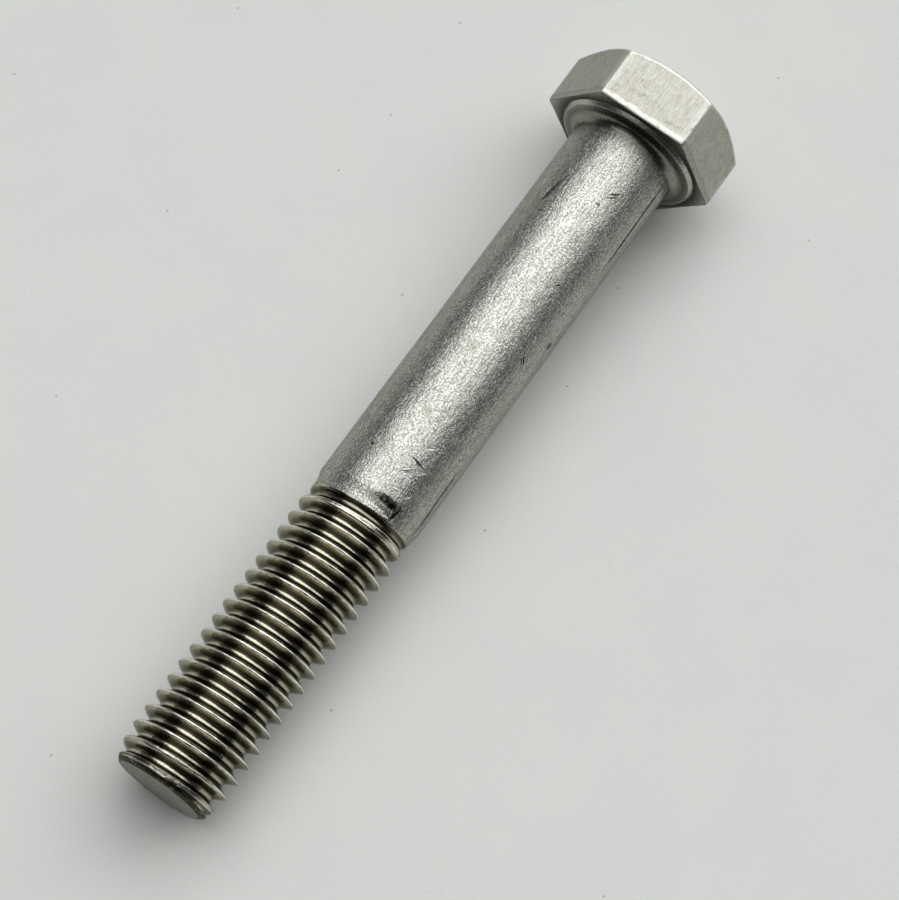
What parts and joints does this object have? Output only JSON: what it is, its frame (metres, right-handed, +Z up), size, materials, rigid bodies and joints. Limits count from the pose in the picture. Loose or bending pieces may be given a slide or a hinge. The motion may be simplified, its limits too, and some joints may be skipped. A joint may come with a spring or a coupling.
{
  "type": "hex bolt",
  "caption": "Hexagon head bolt with a washer face, a plain shank and a coarse right-hand thread on its pointed end, forged in one piece of stainless steel.",
  "frame": {"origin": "centre of the bearing face under the head", "axes": "+X along the bolt's axis from the head to the threaded end, +Z up with one flat of the hexagon facing straight up, +Y towards a corner of the hexagon"},
  "size_m": [0.0953, 0.0214, 0.0186],
  "materials": {
    "stainless_steel": "bare stainless steel, satin shank and flats, brighter rolled thread"
  },
  "bodies": {
    "root": {"hex_bolt": "stainless_steel"}
  },
  "joints": []
}
